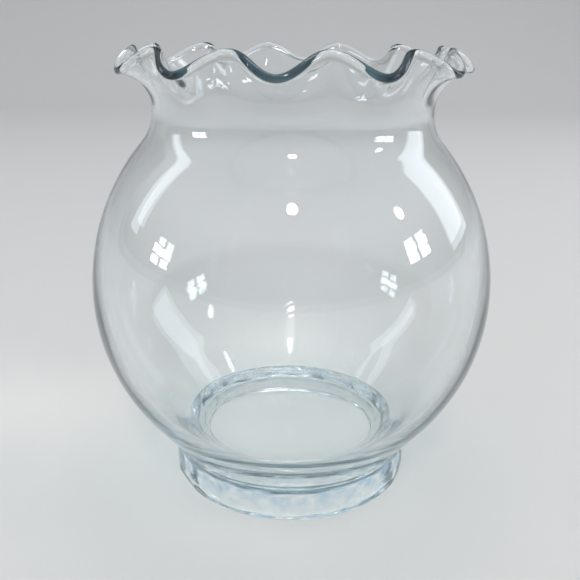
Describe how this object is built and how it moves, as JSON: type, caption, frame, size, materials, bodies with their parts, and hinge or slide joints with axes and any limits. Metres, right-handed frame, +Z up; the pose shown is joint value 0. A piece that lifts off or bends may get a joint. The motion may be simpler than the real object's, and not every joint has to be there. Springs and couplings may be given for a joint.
{
  "type": "rose bowl vase",
  "caption": "Clear glass rose bowl on a foot ring: a round bowl drawn in to a neck, with a flared, crimped and fire-polished lip, for short-stemmed flowers in water.",
  "frame": {"origin": "centre of the bounding box's bottom face, which is the centre of the foot ring on the table", "axes": "+Z up along the vase's axis; the front is -Y, +X is to the right of someone facing the front"},
  "size_m": [0.15, 0.15, 0.165],
  "materials": {
    "bowl_glass": "clear blown glass, fire-polished, faint blue-green in the thick edges",
    "foot_glass": "clear thick glass, lumpy and mottled, faint blue-green"
  },
  "bodies": {
    "root": {"bowl": "bowl_glass", "foot": "foot_glass"}
  },
  "joints": []
}
